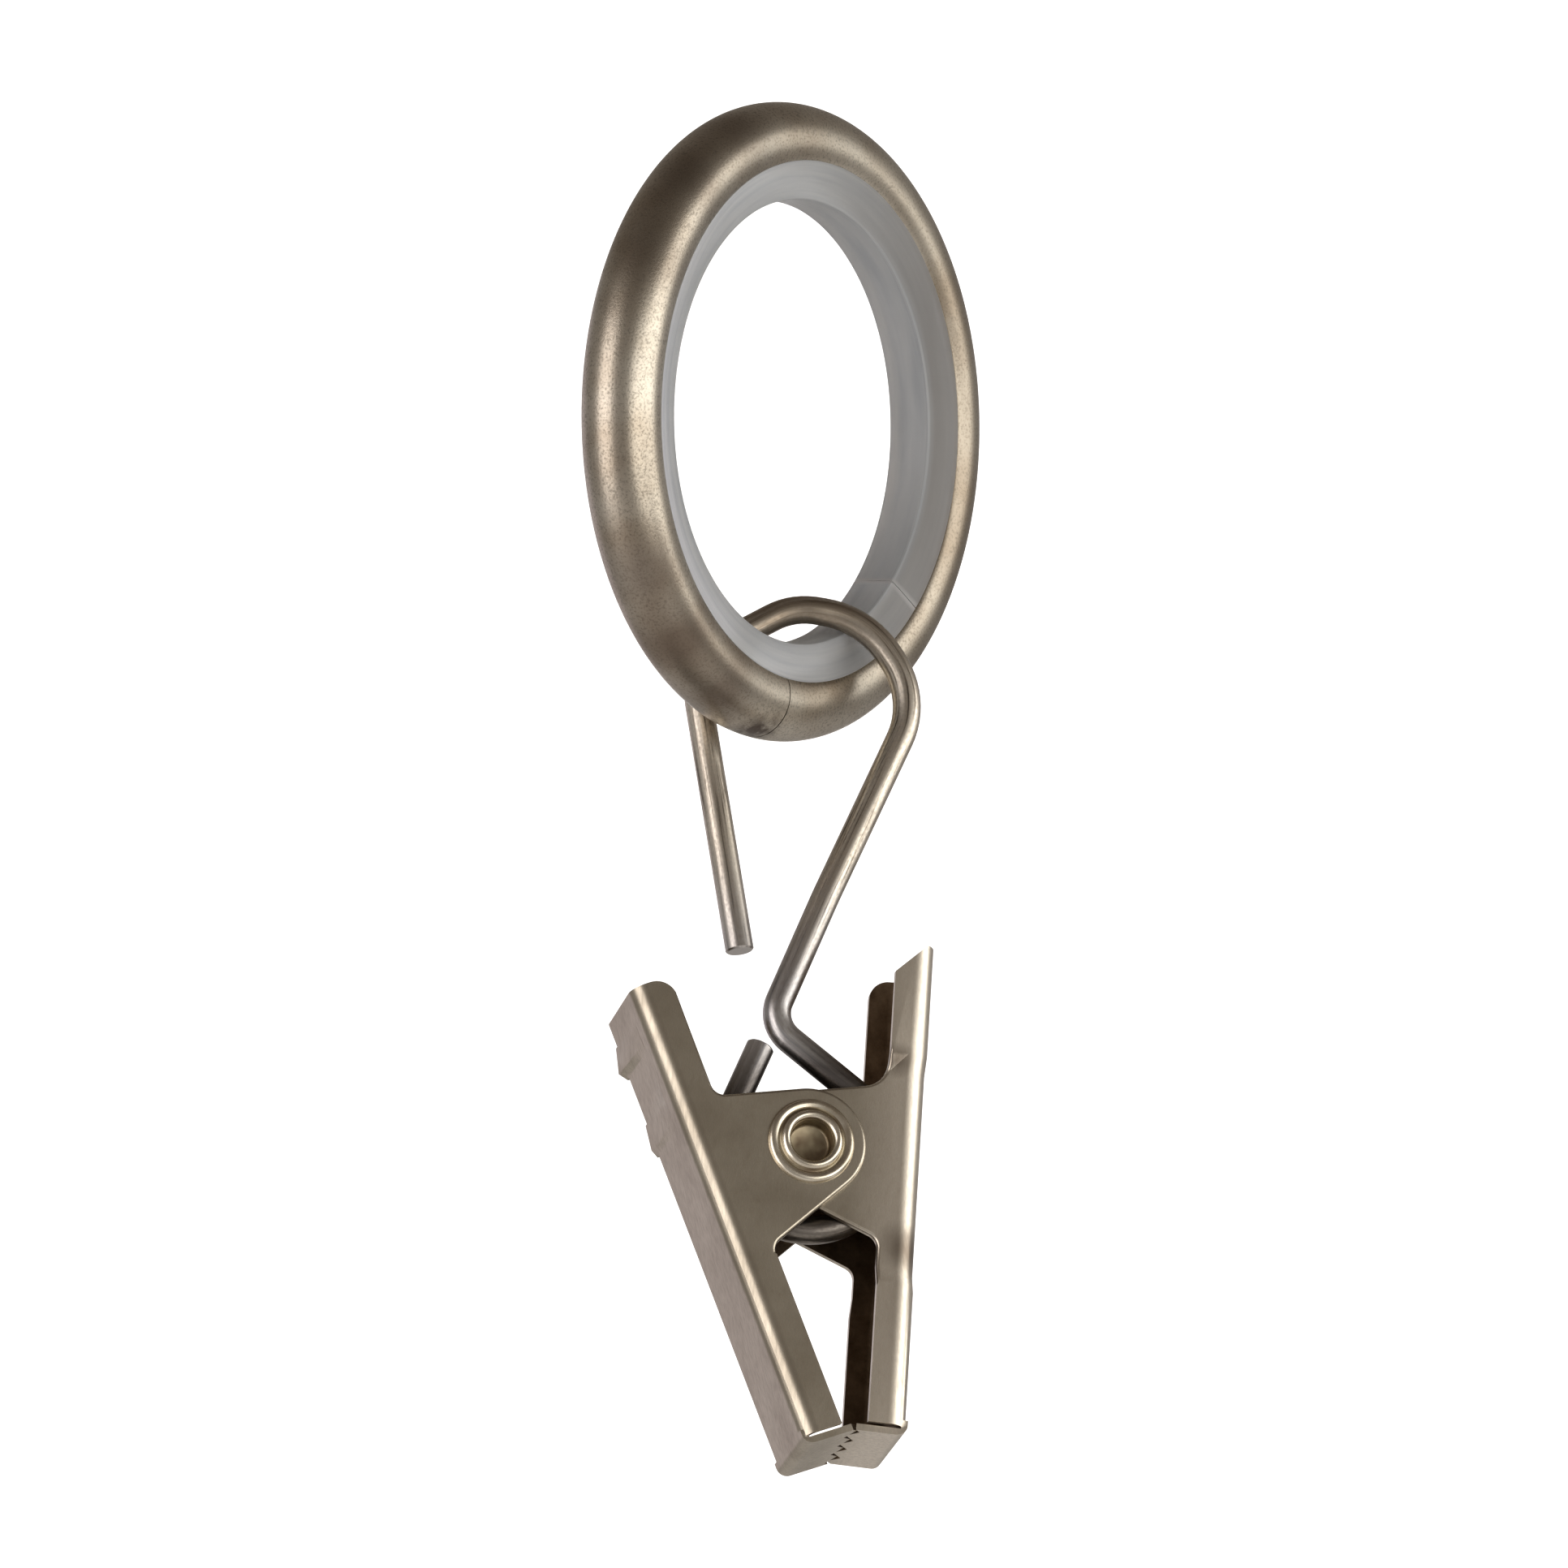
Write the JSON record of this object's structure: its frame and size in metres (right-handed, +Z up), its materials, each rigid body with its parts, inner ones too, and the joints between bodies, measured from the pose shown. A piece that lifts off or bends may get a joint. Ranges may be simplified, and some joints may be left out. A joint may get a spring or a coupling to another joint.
{
  "type": "curtain ring with clip",
  "caption": "Metal curtain ring with a plastic glide liner and a hanging spring clip: an open wire hook joins the ring to toothed folded jaws that grip the curtain's edge.",
  "frame": {"origin": "centre of the ring, on the axis of the rod", "axes": "+Y along the rod away from the front, +Z up, the clip hangs towards -Z"},
  "size_m": [0.047, 0.0261, 0.1003],
  "materials": {
    "ring_nickel": "satin nickel plate, finely blasted",
    "liner_plastic": "frosted translucent plastic",
    "wire_nickel": "bright drawn and plated wire",
    "jaw_nickel": "satin nickel plated sheet",
    "rivet_nickel": "bright nickel plate",
    "spring_steel": "dark spring steel"
  },
  "bodies": {
    "ring": {"ring_shell": "ring_nickel", "ring_liner": "liner_plastic"},
    "hook": {"hook_wire": "wire_nickel"},
    "clip": {"outer_jaw": "jaw_nickel", "pivot_rivet": "rivet_nickel", "jaw_spring": "spring_steel"},
    "jaw": {"inner_jaw": "jaw_nickel"}
  },
  "joints": [
    {"name": "hook_slide", "type": "hinge", "parent": "ring", "child": "hook", "pos_m": [0, 0, 0], "axis": [0, 1, 0], "range_deg": [-60, 60]},
    {"name": "clip_swing", "type": "hinge", "parent": "hook", "child": "clip", "pos_m": [-0.00904, -0.00805, -0.05323], "axis": [-0.6334, -0.6985, 0.333], "range_deg": [-20, 3]},
    {"name": "jaw_open", "type": "hinge", "parent": "clip", "child": "jaw", "pos_m": [-0.00904, -0.00805, -0.05323], "axis": [-0.6334, -0.6985, 0.333], "range_deg": [0, 20], "stiffness_Nm_per_rad": 0.06, "springref_deg": -45.84, "deforming": ["jaw_spring"]}
  ]
}
